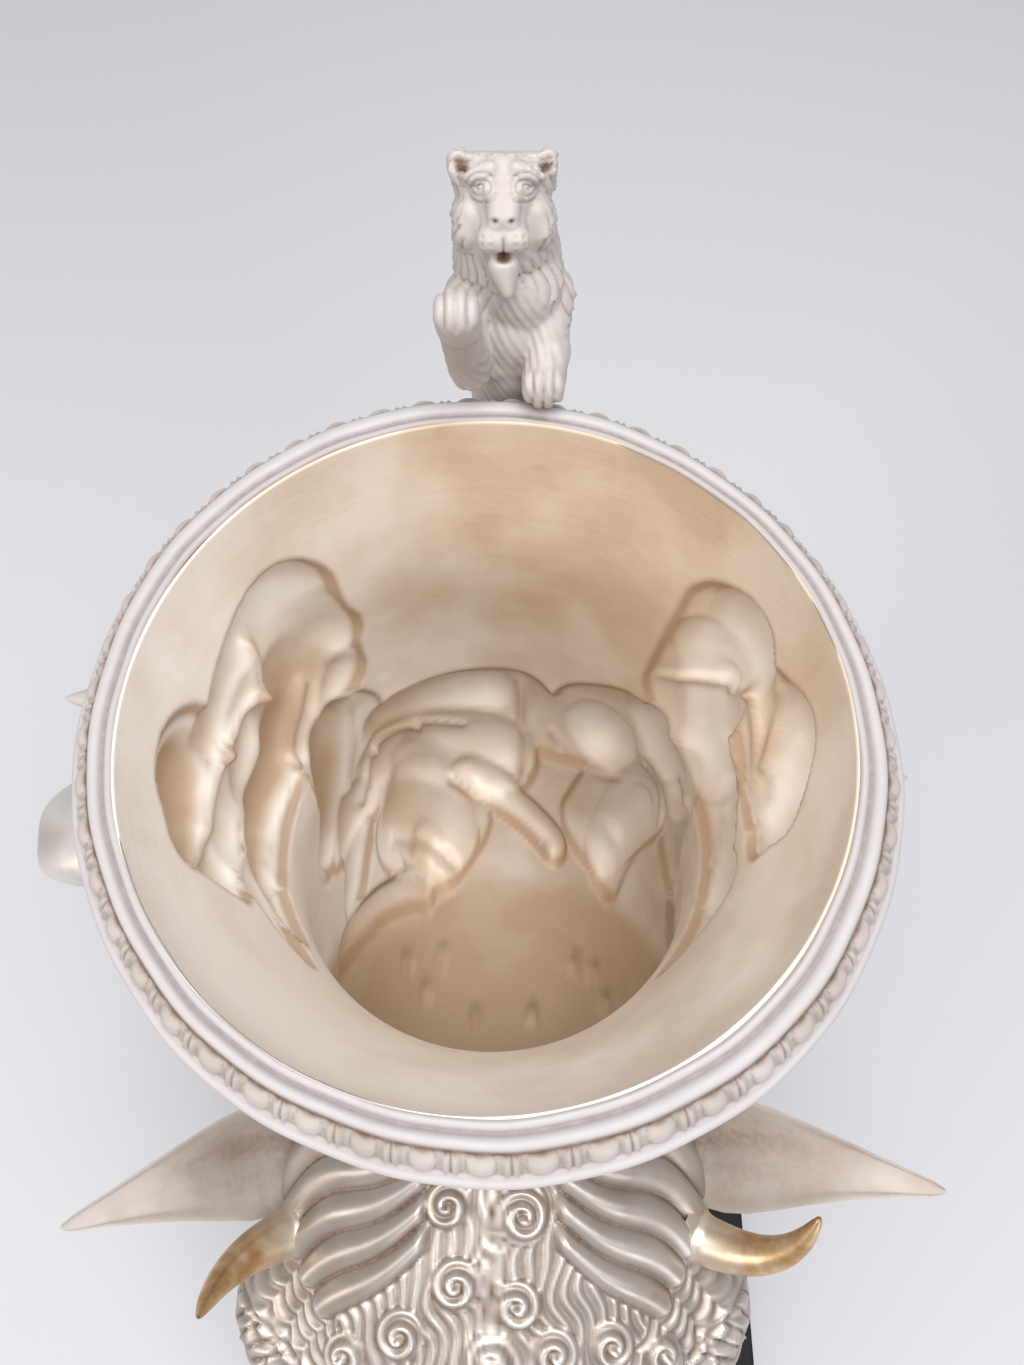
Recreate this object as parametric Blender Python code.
"""A silver rhyton with its stand.

A flaring cup bends forward into a calf's head. Figures in high relief stand round its sides and back,
a lion leans over the lip as the handle, and a black cradle with a flat foot holds the vessel up with
its mouth level.

Frame: +Z up, the calf looks towards -Y, the lion is at +Y. The origin is the middle of the stand's
underside. Left and right are as seen from the front.
"""

import math
from typing import NamedTuple

import bmesh
import bpy
import numpy as np
from mathutils import Matrix, Vector

# The vessel, in metres
MOUTH_D = 0.145            # across the egg moulding at the mouth
JAW_HEIGHT = 0.050         # the jaw's underside above the surface that the stand rests on
WALL = 0.0016              # thickness of the hammered silver
LIP_WIDTH = 0.0038         # flat top of the lip
LIP_SHIFT = 0.0008         # how far the mouth's ring lies behind the middle of the form
MOULDING_HEIGHT = 0.0102   # the egg moulding, from the lip down
MOULDING_DEPTH = 0.0053    # how far the moulding stands out from the lip
EGG_GROOVE = 0.0013        # how deep the grooves between the eggs are
EGG_COUNT = 49

# The calf's head fittings
EAR_LENGTH = 0.057
EAR_WIDTH = 0.027
EAR_THICKNESS = 0.0026
HORN_LENGTH = 0.040
HORN_ROOT_D = 0.0120
HORN_TIP_D = 0.0026

# The stand
FOOT_WIDTH = 0.157
FOOT_DEPTH = 0.190
FOOT_THICKNESS = 0.006
FOOT_CORNER_R = 0.010
FOOT_EDGE_R = 0.0008
SADDLE_THICKNESS = 0.006
SADDLE_ARM = 0.0065        # height of the crescent that carries the vessel
SADDLE_SPAN = 0.046        # width of the crescent
POST_WIDTH = 0.014
FRONT_SADDLE_Y = -0.122    # from the middle of the mouth
BACK_SADDLE_Y = -0.046

# The gap between pieces that touch
GAP = 0.0003
SADDLE_CLEARANCE = 0.0004

# The mouth's middle, seen from the middle of the foot
MOUTH_X = -0.0049
MOUTH_Y = 0.052

# The free form is drawn in shares of the mouth: one unit is a 145th of its width
UNIT = MOUTH_D / 145
LIP_OVER_JAW = 190          # height of the lip over the jaw's underside, in units


class Section(NamedTuple):
    """One cut through the vessel's outside. Lengths are in units, from the middle of the mouth."""
    front_y: float     # the point on the front of the cup, then on the top of the head
    front_z: float
    back_y: float      # the point on the back of the cup, then under the jaw
    back_z: float
    half_width: float
    squareness: float  # 2 is an ellipse, more is boxier
    jaw: float         # how much narrower the underside is, as a share
    outer_rows: int    # rows of faces to the next section, on the outside
    inner_rows: int    # and on the inside


SECTIONS = (
    Section(-64.2, 0, 65.8, 0, 65.0, 2.0, 0.0, 2, 2),              # lip
    Section(-62.5, -12, 63.3, -12, 62.8, 2.0, 0.0, 3, 3),          # under the moulding
    Section(-55.5, -35, 57, -36, 56.5, 2.0, 0.0, 4, 3),
    Section(-50.5, -58, 53, -66, 51.5, 2.0, 0.0, 3, 3),
    Section(-48.8, -75, 48, -90, 48.8, 2.0, 0.0, 3, 3),            # narrowest, seen through the mouth
    Section(-50.5, -84, 40, -120, 49, 2.1, 0.0, 3, 3),             # the neck bends forward
    Section(-58, -91, 22, -148, 50, 2.3, 0.05, 2, 2),              # poll
    Section(-71, -95, -8, -169, 52, 2.6, 0.14, 7, 1),              # ears
    Section(-86, -98.5, -42, -181, 56, 2.7, 0.22, 8, 1),           # horns
    Section(-104, -104, -78, -188, 61, 2.6, 0.34, 3, 1),           # brows and eyes
    Section(-122, -112, -104, -190, 58.5, 2.4, 0.38, 2, 1),        # cheeks
    Section(-142, -124, -128, -189, 48.5, 2.3, 0.32, 2, 1),
    Section(-160, -135, -148, -187, 37, 2.3, 0.16, 2, 0),          # muzzle
    Section(-177, -143, -166, -190, 34, 2.4, 0.04, 1, 0),
    Section(-188, -152, -179, -188, 29, 2.3, 0.02, 0, 0),
)
MUZZLE_TIP = (-191.5, -171)     # y and z of the foremost point, in units
CAVITY_END = 12                 # the hollow ends in the muzzle, at this section
CAVITY_DOME = 2                 # how far its end is domed, in units
HEAD_WALL = 1.7                 # the head's wall, as a multiple of the cup's
COLUMNS = 48                    # faces round the vessel
HEAD_BUNCHING = 0.42            # columns crowd on the forehead
CUP_BUNCHING = -0.22            # and on the back of the cup, where the relief is


class Limb(NamedTuple):
    """A rounded stretch of a figure on the wall, in degrees from the front and units below the lip."""
    angle_0: float
    depth_0: float
    angle_1: float
    depth_1: float
    radius_0: float
    radius_1: float
    height: float


# The figures, beaten out from the inside so that their hollows show within the cup
LEFT_FIGURE = (
    Limb(-130, 27, -131, 29, 10, 10, 10),      # head
    Limb(-128, 29, -136, 47, 9.5, 9.5, 9),     # hair and shoulder
    Limb(-123, 26, -101, 33, 7, 6, 8.5),       # raised arm
    Limb(-88, 28, -79, 27, 9.5, 9, 11),        # bent knee
    Limb(-79, 27, -70, 43, 9, 5, 8),           # shin
    Limb(-126, 50, -110, 66, 12, 11, 10),      # body
    Limb(-103, 65, -82, 62, 10, 7, 9.5),       # thigh
    Limb(-82, 62, -62, 69, 7, 4.5, 7),         # lower leg
    Limb(-126, 79, -110, 111, 10, 10, 7.5),    # cloak
)
MIDDLE_GROUP = (
    Limb(-146, 92, -176, 95, 10, 10.5, 10),    # fallen beast's shoulder
    Limb(-143, 108, -181, 119, 12, 12, 9),     # its flank
    Limb(-154, 130, -162, 147, 14, 12, 9.5),   # its haunch
    Limb(-172, 129, -198, 146, 6, 6, 9),       # its foreleg
    Limb(-156, 155, -108, 141, 5, 4.5, 7),     # its hind leg
    Limb(-130, 117, -121, 135, 9, 8, 7),       # its neck
    Limb(144, 100, 145, 102, 12.5, 12.5, 11),  # crouching man's head
    Limb(128, 79, 115, 91, 10, 11, 8.5),       # his shoulders
    Limb(123, 105, 140, 142, 11, 9, 8),        # his back
    Limb(100, 98, 94, 121, 8, 6, 7),           # his foot
)
RIGHT_FIGURE = (
    Limb(119, 24, 118, 29, 9.5, 10, 10),       # head
    Limb(121, 40, 108, 64, 11.5, 11, 9.5),     # chest
    Limb(96, 24, 86, 30, 10, 9.5, 10.5),       # shoulder and shield
    Limb(86, 30, 80, 38, 9.5, 6, 9),           # forearm
    Limb(96, 56, 68, 61, 9.5, 8, 8.5),         # thigh
    Limb(68, 61, 52, 65, 7, 5, 6.5),           # foot
)
# Parts of the figures that are solid and stand clear of the wall
SOLID_PARTS = (
    Limb(-84, 25, -78, 26, 7.8, 7.8, 20),      # the left figure's knee, past the lip's outline
    Limb(-98, 50, -84, 30, 8, 8.5, 12),        # the thigh that rises to it
    Limb(-76, 30, -68, 52, 8, 5.5, 10),        # the shin that falls from it
)
HOLLOW_SHARE = 0.86                # the inside's depth, as a share of the outside's height
UNITS_PER_DEGREE = 0.93            # length round the cup for each degree


class Bump(NamedTuple):
    """A swelling or dent on both sides of the head, along a line in units; a dent's height is below 0."""
    start: tuple
    end: tuple
    radius: float
    height: float


FACE = (
    Bump((55, -98, -124), (57, -118, -129), 14, 6.0),       # the eye socket's ridge
    Bump((57, -108, -139), (56, -114, -141), 8.0, 3.6),     # eye
    Bump((55, -110, -155), (46, -130, -160), 15, 3.0),      # cheek
    Bump((0, -112, -106), (0, -150, -128), 12, 1.6),        # bridge of the nose
    Bump((17, -186, -158), (20, -180, -151), 8, 3.0),       # nostril's rim
    Bump((18, -190, -164), (22, -186, -160), 5.0, -5.0),    # nostril
    Bump((22, -186, -178), (36, -158, -174), 3.0, -1.6),    # mouth
)

# Hair on the head
LOCK_PITCH = 7.4            # from one wavy lock to the next, in units
LOCK_HEIGHT = 2.2
LOCK_SLANT = 0.42           # how fast a lock runs forward as it goes outward
LOCK_INNER = 15             # where the locks begin, from the middle of the head
LOCK_OUTER = 40
LOCK_FIRST = 62             # from the middle of the mouth, forward
LOCK_LAST = 104
CURL_ROWS = ((72, (-10, 6.5)), (84.5, (-8.5, 6)), (97, (-18, -2.5, 8, 19)), (109, (-24, -10, 4, 15, 27)))
CURL_RADIUS = 6.6
CURL_HEIGHT = 2.6

SEAT_ALLOWANCE = 0.0010     # how far the head's flat faces may stand out of its smooth form
WALL_ALLOWANCE = 0.0004     # and the same on the cup
# Where the ears and horns are set: section, then degrees from the top of the head
EAR_SEAT = (7.1, 64)
HORN_SEAT = (8.2, 52)
EAR_RISE = 0.5              # how far they go straight out of the head, in units
HORN_RISE = 1.8

LIP_HEIGHT = JAW_HEIGHT + LIP_OVER_JAW * UNIT
MOUTH = Vector((MOUTH_X, MOUTH_Y, LIP_HEIGHT))
RING_MIDDLE = MOUTH + Vector((0, LIP_SHIFT, 0))


def section_at(place):
    """The section's values at a place along the vessel, on a smooth curve through all sections."""
    rows = np.array([s[:7] for s in SECTIONS], float)
    place = np.asarray(place, float)
    i = np.clip(place.astype(int), 0, len(rows) - 2)
    f = (place - i)[..., None]
    before = rows[np.maximum(i - 1, 0)]
    here = rows[i]
    after = rows[i + 1]
    beyond = rows[np.minimum(i + 2, len(rows) - 1)]
    return 0.5 * (2 * here + (after - before) * f + (2 * before - 5 * here + 4 * after - beyond) * f ** 2
                  + (3 * here - before - 3 * after + beyond) * f ** 3)


def skin(place, angle):
    """A point of the plain outside, in units from the middle of the mouth. Angle 0 is the front or top."""
    values = section_at(place)
    front_y, front_z, back_y, back_z, half_width, squareness, jaw = np.moveaxis(values, -1, 0)
    across = np.sin(angle)
    along = np.cos(angle)
    across = np.sign(across) * np.abs(across) ** (2 / squareness)
    along = np.sign(along) * np.abs(along) ** (2 / squareness)
    across = across * (1 - jaw * ((1 - along) / 2) ** 1.5)
    y = (front_y + back_y) / 2 + (front_y - back_y) / 2 * along
    z = (front_z + back_z) / 2 + (front_z - back_z) / 2 * along
    return np.stack([half_width * across, y, z], -1)


def outward(place, angle):
    """The direction straight out of the plain outside."""
    step = 0.01
    last = len(SECTIONS) - 1
    ahead = skin(np.minimum(place + step, last), angle) - skin(np.maximum(place - step, 0), angle)
    round_it = skin(place, angle + step) - skin(place, angle - step)
    normal = np.cross(round_it, ahead)
    return -normal / np.linalg.norm(normal, axis=-1, keepdims=True)


def dome(distance, radius, height):
    """The height of a dome with a firm edge."""
    return height * np.clip(1 - (distance / radius) ** 2, 0, 1) ** 0.65


def limb_height(limb, angle, depth):
    """How far one limb lifts the wall at an angle in degrees and a depth in units."""
    run = np.array([(limb.angle_1 - limb.angle_0) * UNITS_PER_DEGREE, limb.depth_1 - limb.depth_0])
    turn = (angle - limb.angle_0 + 180) % 360 - 180
    dx = turn * UNITS_PER_DEGREE
    dz = depth - limb.depth_0
    t = np.clip((dx * run[0] + dz * run[1]) / max(run @ run, 1e-6), 0, 1)
    distance = np.hypot(dx - t * run[0], dz - t * run[1])
    return dome(distance, limb.radius_0 + (limb.radius_1 - limb.radius_0) * t, limb.height)


def blend(heights):
    """The union of several domes, with soft valleys between them."""
    return np.sum(np.array(heights) ** 4, axis=0) ** 0.25


def figure_height(angle, depth):
    """The height of the hollow figures."""
    degrees = np.degrees(angle)
    limbs = LEFT_FIGURE + MIDDLE_GROUP + RIGHT_FIGURE
    return blend([limb_height(limb, degrees, depth) for limb in limbs])


def solid_height(angle, depth):
    """The height of the parts that stand clear of the wall."""
    return blend([limb_height(limb, np.degrees(angle), depth) for limb in SOLID_PARTS])


def face_height(point):
    """The height of the calf's features, the same on both sides."""
    folded = np.stack([np.abs(point[..., 0]), point[..., 1], point[..., 2]], -1)
    total = np.zeros(point.shape[:-1])
    for bump in FACE:
        start = np.array(bump.start, float)
        run = np.array(bump.end, float) - start
        t = np.clip(((folded - start) @ run) / (run @ run), 0, 1)[..., None]
        distance = np.linalg.norm(folded - start - t * run, axis=-1)
        total += dome(distance, bump.radius, bump.height)
    return total


def fade(value, start, end):
    """0 before start, 1 after end, smooth between."""
    t = np.clip((value - start) / (end - start), 0, 1)
    return t * t * (3 - 2 * t)


def hair_height(point, angle):
    """Spiral curls down the middle of the forehead, and wavy locks that run out from them."""
    x = point[..., 0]
    forward = -point[..., 1]
    from_top = np.abs((np.degrees(angle) + 180) % 360 - 180)
    on_top = 1 - fade(from_top, 48, 62)
    out = np.abs(x) - LOCK_INNER
    wave = forward - LOCK_SLANT * out - 1.6 * np.sin(out / 5.5)
    ridge = 0.5 + 0.5 * np.cos(2 * math.pi * wave / LOCK_PITCH)
    among = (fade(np.abs(x), LOCK_INNER - 2, LOCK_INNER + 2) * (1 - fade(np.abs(x), LOCK_OUTER - 4, LOCK_OUTER))
             * fade(forward, LOCK_FIRST, LOCK_FIRST + 4) * (1 - fade(forward, LOCK_LAST - 4, LOCK_LAST)))
    locks = LOCK_HEIGHT * ridge * among
    curls = np.zeros_like(x)
    for row, columns in CURL_ROWS:
        for column in columns:
            curls = np.maximum(curls, dome(np.hypot(x - column, forward - row), CURL_RADIUS, CURL_HEIGHT))
    return np.maximum(locks, curls) * on_top


def outside(place, angle):
    """The finished outside, in units."""
    point = skin(place, angle)
    depth = -point[..., 2]
    on_cup = 1 - fade(place, 6.2, 7.0)
    lift = (figure_height(angle, depth) + solid_height(angle, depth)) * on_cup
    on_head = fade(place, 6.0, 6.8)
    lift = lift + on_head * (face_height(point) + hair_height(point, angle))
    return point + outward(place, angle) * lift[..., None]


def inside(place, angle):
    """The finished inside: the figures' hollows show, the hair doesn't."""
    point = skin(place, angle)
    wall = WALL / UNIT * (1 + (HEAD_WALL - 1) * fade(place, 5.5, 7.5))
    lift = HOLLOW_SHARE * figure_height(angle, -point[..., 2]) * (1 - fade(place, 6.2, 7.0)) - wall
    return point + outward(place, angle) * lift[..., None]


def in_metres(points):
    """Points in units from the middle of the mouth, as metres in the object's frame."""
    return np.asarray(points) * UNIT + np.array(MOUTH)


def column_angles(place, count=COLUMNS):
    """The angles of the columns at one place: crowded where there is most to show."""
    even = np.arange(count) * 2 * math.pi / count
    bunching = CUP_BUNCHING * fade(place, 0.5, 2.0) * (1 - fade(place, 5, 6.5)) + HEAD_BUNCHING * fade(place, 5, 7)
    return even - bunching * np.sin(even)


def places(first, last, column):
    """Places along the vessel from one section to another, by each section's own count of rows."""
    result = []
    for i in range(first, last):
        count = SECTIONS[i][column]
        result += [i + k / count for k in range(count)]
    return result + [last]


def add_ring(bm, points):
    """New vertices for one ring."""
    return [bm.verts.new(Vector(p)) for p in points]


def stitch(bm, ring_a, angles_a, ring_b, angles_b):
    """Join two rings, which may have different counts, with triangles. Ring b is further along."""
    na = len(ring_a)
    nb = len(ring_b)
    i = j = 0
    while i < na or j < nb:
        next_a = angles_a[i + 1] if i + 1 < na else angles_a[0] + 2 * math.pi
        next_b = angles_b[j + 1] if j + 1 < nb else angles_b[0] + 2 * math.pi
        if j >= nb or (i < na and next_a <= next_b):
            bm.faces.new((ring_a[i % na], ring_b[j % nb], ring_a[(i + 1) % na]))
            i += 1
        else:
            bm.faces.new((ring_a[i % na], ring_b[j % nb], ring_b[(j + 1) % nb]))
            j += 1


def close(bm, ring, point):
    """Close a ring with a fan to one point."""
    tip = bm.verts.new(Vector(point))
    for i, vert in enumerate(ring):
        bm.faces.new((vert, ring[(i + 1) % len(ring)], tip))


def finish(name, bm, look):
    """Turn a bmesh into an object with its faces pointing out."""
    bmesh.ops.recalc_face_normals(bm, faces=bm.faces)
    mesh = bpy.data.meshes.new(name)
    bm.to_mesh(mesh)
    bm.free()
    piece = bpy.data.objects.new(name, mesh)
    bpy.context.collection.objects.link(piece)
    mesh.materials.append(look)
    mesh.shade_smooth()
    mesh.set_sharp_from_angle(angle=math.radians(40))
    return piece


def material(name, color, roughness, metallic):
    """A Principled material."""
    made = bpy.data.materials.new(name)
    made.use_nodes = True
    shader = made.node_tree.nodes["Principled BSDF"]
    shader.inputs["Base Color"].default_value = (*color, 1)
    shader.inputs["Roughness"].default_value = roughness
    shader.inputs["Metallic"].default_value = metallic
    made.diffuse_color = (*color, 1)
    return made


def egg_ring(radius, groove, drop):
    """One ring of the moulding: crests on the eggs' middles, grooves between them."""
    count = 2 * EGG_COUNT
    angles = np.arange(count) * 2 * math.pi / count
    radii = np.where(np.arange(count) % 2 == 0, radius, radius - groove)
    points = np.stack([radii * np.sin(angles), -radii * np.cos(angles), np.full(count, -drop)], -1)
    return points + np.array(RING_MIDDLE), angles


def build_vessel(silver):
    """The hollow vessel: mouth moulding, outside, inside."""
    bm = bmesh.new()
    outer_r = MOUTH_D / 2
    lip_outer_r = outer_r - MOULDING_DEPTH
    lip_inner_r = lip_outer_r - LIP_WIDTH
    columns = column_angles(0)
    circle = np.stack([np.sin(columns), -np.cos(columns), np.zeros(COLUMNS)], -1)
    middle = np.array(RING_MIDDLE)
    lip_outer = add_ring(bm, circle * lip_outer_r + middle)
    lip_inner = add_ring(bm, circle * lip_inner_r + middle)

    # The moulding: a groove, the eggs on a slope that widens downward, and a fillet
    eggs_r = outer_r - 0.32 * MOULDING_DEPTH
    profile = ((lip_outer_r + 0.1 * MOULDING_DEPTH, 0, 0.12), (eggs_r, EGG_GROOVE, 0.35),
               (outer_r - 0.15 * MOULDING_DEPTH, EGG_GROOVE, 0.62), (outer_r, 0, 0.72), (outer_r, 0, 0.86))
    previous, previous_angles = lip_outer, columns
    for radius, groove, share in profile:
        if groove:
            points, angles = egg_ring(radius, groove, share * MOULDING_HEIGHT)
        else:
            points, angles = circle * radius + middle - np.array((0, 0, share * MOULDING_HEIGHT)), columns
        ring = add_ring(bm, points)
        stitch(bm, previous, previous_angles, ring, angles)
        previous, previous_angles = ring, angles

    # The outside, from under the moulding to the muzzle
    start = MOULDING_HEIGHT / UNIT / -SECTIONS[1].front_z
    outer_places = [start] + [p for p in places(0, len(SECTIONS) - 1, 7) if p > start + 0.1]
    for place in outer_places:
        angles = column_angles(place)
        ring = add_ring(bm, in_metres(outside(np.full(COLUMNS, place), angles)))
        stitch(bm, previous, previous_angles, ring, angles)
        previous, previous_angles = ring, angles
    close(bm, previous, in_metres((0, *MUZZLE_TIP)))

    # The inside, from the lip to the end of the hollow
    previous, previous_angles = lip_inner, columns
    stitch(bm, lip_outer, columns, lip_inner, columns)
    for place in places(0, CAVITY_END, 8)[1:]:
        angles = column_angles(place)
        ring = add_ring(bm, in_metres(inside(np.full(COLUMNS, place), angles)))
        stitch(bm, previous, previous_angles, ring, angles)
        previous, previous_angles = ring, angles
    end = section_at(CAVITY_END)
    close(bm, previous, in_metres((0, (end[0] + end[2]) / 2 - CAVITY_DOME, (end[1] + end[3]) / 2)))
    return finish("vessel", bm, silver)


def seat(place, degrees, side):
    """A point on the head for a fitting, and the direction straight out of the head there."""
    angle = side * math.radians(degrees)
    point = outside(np.array(place), np.array(angle))
    return point, outward(np.array(place), np.array(angle))


def seated_ring(place, degrees, side, reach_along, reach_round, count, first_turn):
    """A ring that follows the head's surface, a gap clear of it, and its middle."""
    turns = math.radians(first_turn) + np.arange(count) * 2 * math.pi / count
    ring_places = place + reach_along * np.sin(turns)
    ring_angles = side * np.radians(degrees + reach_round * np.cos(turns))
    clear = (GAP + SEAT_ALLOWANCE) / UNIT
    points = outside(ring_places, ring_angles) + outward(ring_places, ring_angles) * clear
    middle, normal = seat(place, degrees, side)
    return points, middle + normal * clear


def build_horn(name, side, tip, bow, gilding):
    """A short horn that leaves the head straight and curves to its tip."""
    count = 10
    stations = 7
    root, root_middle = seated_ring(*HORN_SEAT, side, 0.29, 7.2, count, 0)
    root_middle = np.array(root_middle)
    _, normal = seat(*HORN_SEAT, side)
    start = root_middle + normal * HORN_RISE
    tip = np.array(tip, float)
    reach = np.linalg.norm(tip - start)
    tip = start + (tip - start) * (HORN_LENGTH / UNIT * 0.86 / reach)
    middle = (start + tip) / 2 + np.array(bow, float)
    bm = bmesh.new()
    angles = np.arange(count) * 2 * math.pi / count
    first = add_ring(bm, in_metres(root))
    close(bm, first, in_metres(root_middle))
    previous = first
    for k in range(1, stations + 1):
        t = k / stations
        centre = (1 - t) ** 2 * start + 2 * t * (1 - t) * middle + t * t * tip
        ahead = 2 * (1 - t) * (middle - start) + 2 * t * (tip - middle)
        ahead /= np.linalg.norm(ahead)
        radius = (HORN_ROOT_D + (HORN_TIP_D - HORN_ROOT_D) * t ** 0.9) / 2 / UNIT
        # Across the horn, one direction stays level with the head's length so that the rings don't twist
        u = np.array([0, 1, 0]) - ahead[1] * ahead
        u /= np.linalg.norm(u)
        v = np.cross(ahead, u)
        ring_points = [centre + radius * (math.cos(a) * v + math.sin(a) * u * -side) for a in angles * side]
        ring = add_ring(bm, in_metres(ring_points))
        stitch(bm, previous, angles, ring, angles)
        previous = ring
    close(bm, previous, in_metres(tip + ahead * 0.8))
    return finish(name, bm, gilding)


def build_ear(name, side, tip, silver):
    """A cupped leaf that opens forward and up, its root set on the head."""
    across_count = 7
    stations = 9
    ring_size = 2 * across_count - 2
    root, root_middle = seated_ring(*EAR_SEAT, side, 0.32, 5.5, ring_size, 90)
    _, normal = seat(*EAR_SEAT, side)
    start = root_middle + normal * EAR_RISE
    tip = np.array(tip, float)
    run = tip - start
    run = run * (EAR_LENGTH / UNIT / np.linalg.norm(run))
    ahead = run / np.linalg.norm(run)
    # The ear's width runs back and up, and its hollow faces forward and up
    wide = np.array([0, 0.80, 0.60]) - (np.array([0, 0.80, 0.60]) @ ahead) * ahead
    wide /= np.linalg.norm(wide)
    hollow = np.cross(ahead, wide) * side
    half_width = EAR_WIDTH / 2 / UNIT
    thickness = EAR_THICKNESS / UNIT
    v = np.linspace(-1, 1, across_count)
    bm = bmesh.new()
    angles = np.arange(ring_size) * 2 * math.pi / ring_size
    previous = add_ring(bm, in_metres(root))
    close(bm, previous, in_metres(root_middle))
    for k in range(1, stations + 1):
        t = k / stations
        width = half_width * (0.46 + 0.54 * math.sin(math.pi * min(1, t / 0.42) / 2)) * (1 - t ** 2.4) ** 0.8
        width = max(width, 0.6)
        cup = 0.55 * width * (1 - 0.6 * t)
        rise = 1.6 * math.sin(math.pi * t)
        thick = thickness * (1.5 - 0.8 * t) * np.sqrt(np.clip(1 - v ** 2, 0, 1))
        centre = start + run * t + wide * rise
        front = [centre + wide * width * a - hollow * cup * (1 - a * a) for a in v]
        rear = [p - hollow * w for p, w in zip(front, thick)]
        ring = add_ring(bm, in_metres(front + rear[-2:0:-1]))
        stitch(bm, previous, angles, ring, angles)
        previous = ring
    close(bm, previous, in_metres(start + run * 1.02 + wide * 0.1))
    return finish(name, bm, silver)


class Ball(NamedTuple):
    """One end of a rounded stretch of the lion, in units from the middle of the mouth."""
    x: float
    y: float
    z: float
    radius: float


# The lion's head looks up at who drinks. Its balls are in units from its middle: right, up, and outward
LION_HEAD_MIDDLE = np.array((3, 84, 31.8))
LION_HEAD_LIFT = 35         # degrees
LION_HEAD = (
    (Ball(-4.2, 6.5, -3, 5.2), Ball(4.2, 6.5, -3, 5.2)),        # skull
    (Ball(-4, 0, -3, 5.6), Ball(4, 0, -3, 5.6)),
    (Ball(0, 6, -1, 5.6), Ball(0, 3, -0.5, 6.0)),               # forehead
    (Ball(0, -2, 3.2, 4.2), Ball(0, -4.5, 3.8, 3.6)),           # muzzle
    (Ball(-2.5, -4.2, 5.2, 2.5), Ball(2.5, -4.2, 5.2, 2.5)),
    (Ball(0, 2.5, 4.0, 1.8), Ball(0, -1.2, 6.6, 1.9)),          # nose
    (Ball(0, -8.6, 2.8, 3.0), Ball(0, -11.5, 2.2, 2.0)),        # jaw and beard
    (Ball(-5.6, 7.6, 3.0, 1.4), Ball(-1.8, 7.4, 3.9, 1.4)),     # brows
    (Ball(5.6, 7.6, 3.0, 1.4), Ball(1.8, 7.4, 3.9, 1.4)),
    (Ball(-6.2, -2, -0.5, 3.2), Ball(-5.4, 1, 0, 3.2)),         # cheeks
    (Ball(6.2, -2, -0.5, 3.2), Ball(5.4, 1, 0, 3.2)),
    (Ball(-8.2, 9.4, -1.2, 2.6), Ball(-8.5, 10.6, -1.6, 2.1)),  # ears
    (Ball(8.2, 9.4, -1.2, 2.6), Ball(8.5, 10.6, -1.6, 2.1)),
)
LION_BODY = (
    (Ball(3, 88, 27, 9.5), Ball(4, 88, 12, 11)),                # neck and mane
    (Ball(6.3, 83.5, 16, 8.4), Ball(7.0, 84, 6, 8.4)),          # chest
    (Ball(4, 89, 10, 10.2), Ball(4, 92, -14, 8.6)),             # back
    (Ball(4, 92, -14, 8.6), Ball(4, 87, -36, 9)),
    (Ball(-2.5, 84, -38, 7.2), Ball(-3.5, 74, -47, 5.0)),       # hind legs
    (Ball(10.5, 84, -38, 7.2), Ball(11.5, 74, -47, 5.0)),
    (Ball(-3.5, 74, -47, 5.0), Ball(-4.0, 66.5, -56, 3.8)),
    (Ball(11.5, 74, -47, 5.0), Ball(12.0, 66.5, -56, 3.8)),
    (Ball(-4.0, 65, -58, 4.0), Ball(-4.0, 59.5, -60, 4.0)),     # hind paws
    (Ball(12.0, 65, -58, 4.0), Ball(12.0, 58.5, -60, 4.0)),
    (Ball(12, 84, 13, 6.2), Ball(11.8, 77, 8, 4.8)),            # the foreleg on the lip
    (Ball(11.6, 76, 7, 4.5), Ball(10.6, 69, 4.9, 4.3)),
    (Ball(-3.0, 83, 13, 6), Ball(-3.8, 74, 5.5, 4.4)),          # the raised foreleg
    (Ball(-3.8, 73, 4.9, 4.2), Ball(-5.1, 69.5, 19, 4.0)),
    (Ball(-5.1, 69, 21, 4.4), Ball(-5.3, 67.4, 25, 4.4)),
    (Ball(4, 91, -42, 2.6), Ball(4, 95, -50, 2.0)),             # tail
    (Ball(4, 95, -50, 2.0), Ball(5, 92, -62, 1.9)),
    (Ball(5, 92, -62, 2.6), Ball(6, 88, -68, 2.2)),
)
LION_GRAIN = 1.1            # how fine the lion's surface is first made, in units
LION_FACES = 1240
LION_KEEP_OUT = 0.5         # how deep below the lip a paw still goes over it, as a share of the moulding


def head_ball(ball):
    """A ball of the lion's head, in units from the middle of the mouth."""
    lift = math.radians(LION_HEAD_LIFT)
    up = np.array((0, math.sin(lift), math.cos(lift)))
    out = np.array((0, -math.cos(lift), math.sin(lift)))
    return Ball(*(LION_HEAD_MIDDLE + np.array((ball.x, 0, 0)) + ball.y * up + ball.z * out), ball.radius)


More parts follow.
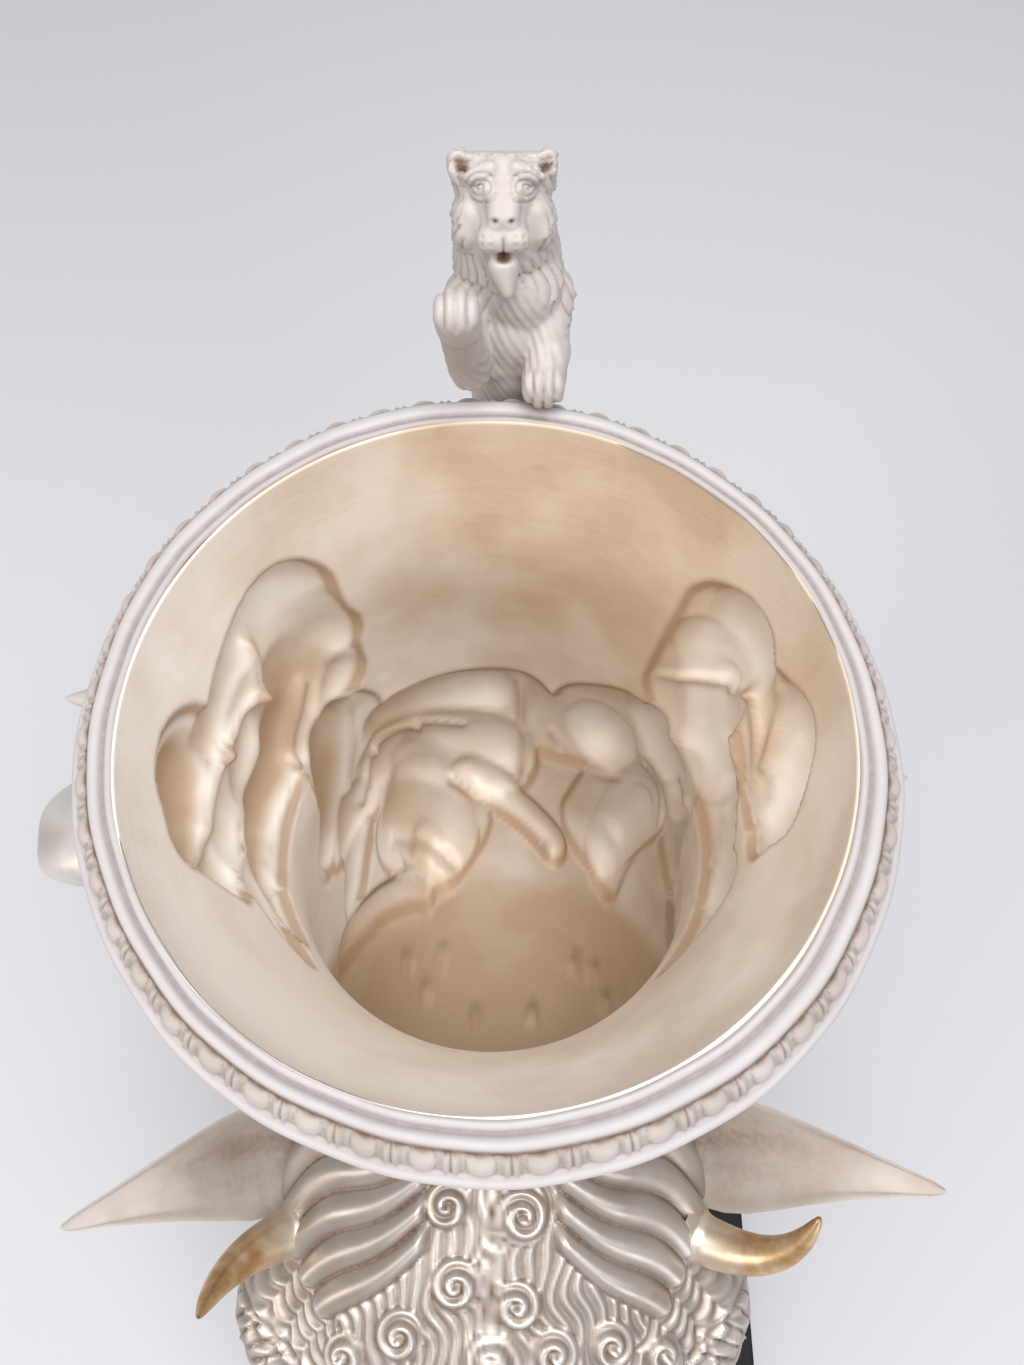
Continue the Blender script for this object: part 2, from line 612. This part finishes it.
def build_lion(silver):
    """The lion: rounded stretches run together into one body, thinned to a few faces, and seated."""
    bm = bmesh.new()
    for first, last in LION_BODY + tuple((head_ball(a), head_ball(b)) for a, b in LION_HEAD):
        a = Vector(first[:3])
        b = Vector(last[:3])
        smaller = min(first.radius, last.radius)
        steps = max(1, math.ceil((b - a).length / (smaller * 0.35)))
        for k in range(steps + 1):
            t = k / steps
            radius = first.radius + (last.radius - first.radius) * t
            spot = MOUTH + a.lerp(b, t) * UNIT
            bmesh.ops.create_icosphere(bm, subdivisions=2, radius=radius * UNIT, matrix=Matrix.Translation(spot))
    lion = finish("lion_handle", bm, silver)
    fuse = lion.modifiers.new("fuse", 'REMESH')
    fuse.mode = 'VOXEL'
    fuse.voxel_size = LION_GRAIN * UNIT
    even = lion.modifiers.new("even", 'SMOOTH')
    even.iterations = 3
    count = len(evaluated(lion).polygons) * 2
    thin = lion.modifiers.new("thin", 'DECIMATE')
    thin.ratio = min(1, LION_FACES / count)
    thin.use_collapse_triangulate = True
    mesh = evaluated(lion)
    lion.modifiers.clear()
    lion.data = mesh
    for vert in mesh.vertices:
        vert.co = clear_of_vessel(vert.co)
    mesh.shade_smooth()
    mesh.set_sharp_from_angle(angle=math.radians(60))
    return lion


def evaluated(piece):
    """A new mesh with the piece's modifiers applied."""
    bpy.context.view_layer.update()
    return bpy.data.meshes.new_from_object(piece.evaluated_get(bpy.context.evaluated_depsgraph_get()))


def clear_of_vessel(point):
    """Move a point of the lion out of the lip, the moulding or the wall, to a gap clear of them."""
    local = point - MOUTH
    radius = math.hypot(local.x, local.y)
    from_ring = math.hypot(local.x, local.y - LIP_SHIFT)
    if from_ring < MOUTH_D / 2 + GAP and local.z > -MOULDING_HEIGHT * LION_KEEP_OUT:
        local.z = max(local.z, GAP)
    elif local.z <= 0:
        free = wall_radius(-local.z) + GAP
        if radius < free:
            local.x *= free / radius
            local.y *= free / radius
    return MOUTH + local


def wall_radius(depth):
    """The cup's outer radius at its plain back, at a depth in metres below the lip."""
    if depth < MOULDING_HEIGHT:
        return MOUTH_D / 2 + LIP_SHIFT
    low, high = 0.0, 6.0
    for _ in range(30):
        middle = (low + high) / 2
        if -skin(np.array(middle), np.array(math.pi))[2] * UNIT < depth:
            low = middle
        else:
            high = middle
    return skin(np.array(low), np.array(math.pi))[1] * UNIT + WALL_ALLOWANCE


def underside(y, angle):
    """The height of the vessel's outside where a given angle of it crosses a given y, in metres."""
    low, high = 5.0, float(len(SECTIONS) - 1)
    for _ in range(40):
        middle = (low + high) / 2
        if in_metres(outside(np.array(middle), np.array(angle)))[1] > y:
            low = middle
        else:
            high = middle
    point = in_metres(outside(np.array(low), np.array(angle)))
    return point[0] - MOUTH_X, point[2]


def cradle_curve(y, count=15):
    """The line that a saddle's crescent follows under the vessel, clear of it over its whole thickness."""
    spots = []
    for degrees in np.linspace(96, 264, 43):
        angle = math.radians(degrees)
        ends = [underside(y + side * SADDLE_THICKNESS / 2, angle) for side in (-1, 0, 1)]
        spots.append((ends[1][0], min(z for _, z in ends)))
    spots = sorted(spots)
    xs = np.linspace(-SADDLE_SPAN / 2, SADDLE_SPAN / 2, count)
    zs = np.interp(xs, [s[0] for s in spots], [s[1] for s in spots])
    return [(x, z - SADDLE_CLEARANCE - GAP) for x, z in zip(xs, zs)]


def build_saddle(name, y, paint):
    """A post that spreads into a crescent under the vessel."""
    top = cradle_curve(y)
    half_post = POST_WIDTH / 2
    under = [(x, z - SADDLE_ARM) for x, z in top]
    right = [p for p in reversed(under) if p[0] > half_post * 1.3]
    left = [p for p in reversed(under) if p[0] < -half_post * 1.3]
    foot = FOOT_THICKNESS / 2
    outline = top + right + [(half_post, right[-1][1] - SADDLE_ARM * 0.6), (half_post, foot),
                             (-half_post, foot), (-half_post, left[0][1] - SADDLE_ARM * 0.6)] + left
    bm = bmesh.new()
    verts = [bm.verts.new((MOUTH_X + x, y - SADDLE_THICKNESS / 2, z)) for x, z in outline]
    face = bm.faces.new(verts)
    moved = bmesh.ops.extrude_face_region(bm, geom=[face])
    for item in moved["geom"]:
        if isinstance(item, bmesh.types.BMVert):
            item.co.y += SADDLE_THICKNESS
    guide = finish(name, bm, paint)
    guide.hide_render = True
    guide.display_type = 'WIRE'
    return guide


def build_stand(paint):
    """The foot, a plate with round corners, and the two saddles that grow out of it."""
    corner_steps = 5
    outline = []
    for corner in range(4):
        sign_x = 1 if corner in (0, 3) else -1
        sign_y = 1 if corner in (0, 1) else -1
        centre_x = sign_x * (FOOT_WIDTH / 2 - FOOT_CORNER_R)
        centre_y = sign_y * (FOOT_DEPTH / 2 - FOOT_CORNER_R)
        for k in range(corner_steps + 1):
            turn = math.radians(90 * corner + 90 * k / corner_steps)
            outline.append((centre_x + FOOT_CORNER_R * math.cos(turn), centre_y + FOOT_CORNER_R * math.sin(turn)))
    bm = bmesh.new()
    face = bm.faces.new([bm.verts.new((x, y, 0)) for x, y in outline])
    moved = bmesh.ops.extrude_face_region(bm, geom=[face])
    for item in moved["geom"]:
        if isinstance(item, bmesh.types.BMVert):
            item.co.z += FOOT_THICKNESS
    top_edges = [e for e in bm.edges if min(v.co.z for v in e.verts) > FOOT_THICKNESS / 2]
    bmesh.ops.bevel(bm, geom=top_edges, offset=FOOT_EDGE_R, segments=1, affect='EDGES')
    stand = finish("stand", bm, paint)
    for name, y in (("front_saddle", FRONT_SADDLE_Y), ("back_saddle", BACK_SADDLE_Y)):
        join = stand.modifiers.new(name, 'BOOLEAN')
        join.operation = 'UNION'
        join.solver = 'EXACT'
        join.object = build_saddle(name, MOUTH_Y + y, paint)
    return stand


def main():
    for old in list(bpy.data.objects):
        bpy.data.objects.remove(old)
    silver = material("silver", (0.80, 0.76, 0.71), 0.27, 1.0)
    gilding = material("gilding", (0.83, 0.62, 0.33), 0.30, 1.0)
    paint = material("black_paint", (0.012, 0.012, 0.013), 0.45, 0.0)
    build_vessel(silver)
    build_ear("ear_left", -1, (-96, -82.5, -92), silver)
    build_ear("ear_right", 1, (102, -76, -92), silver)
    build_horn("horn_left", -1, (-61, -97, -84), (-8, 3, -7), gilding)
    build_horn("horn_right", 1, (74, -82, -84), (8, -9, -7), gilding)
    build_lion(silver)
    build_stand(paint)


main()
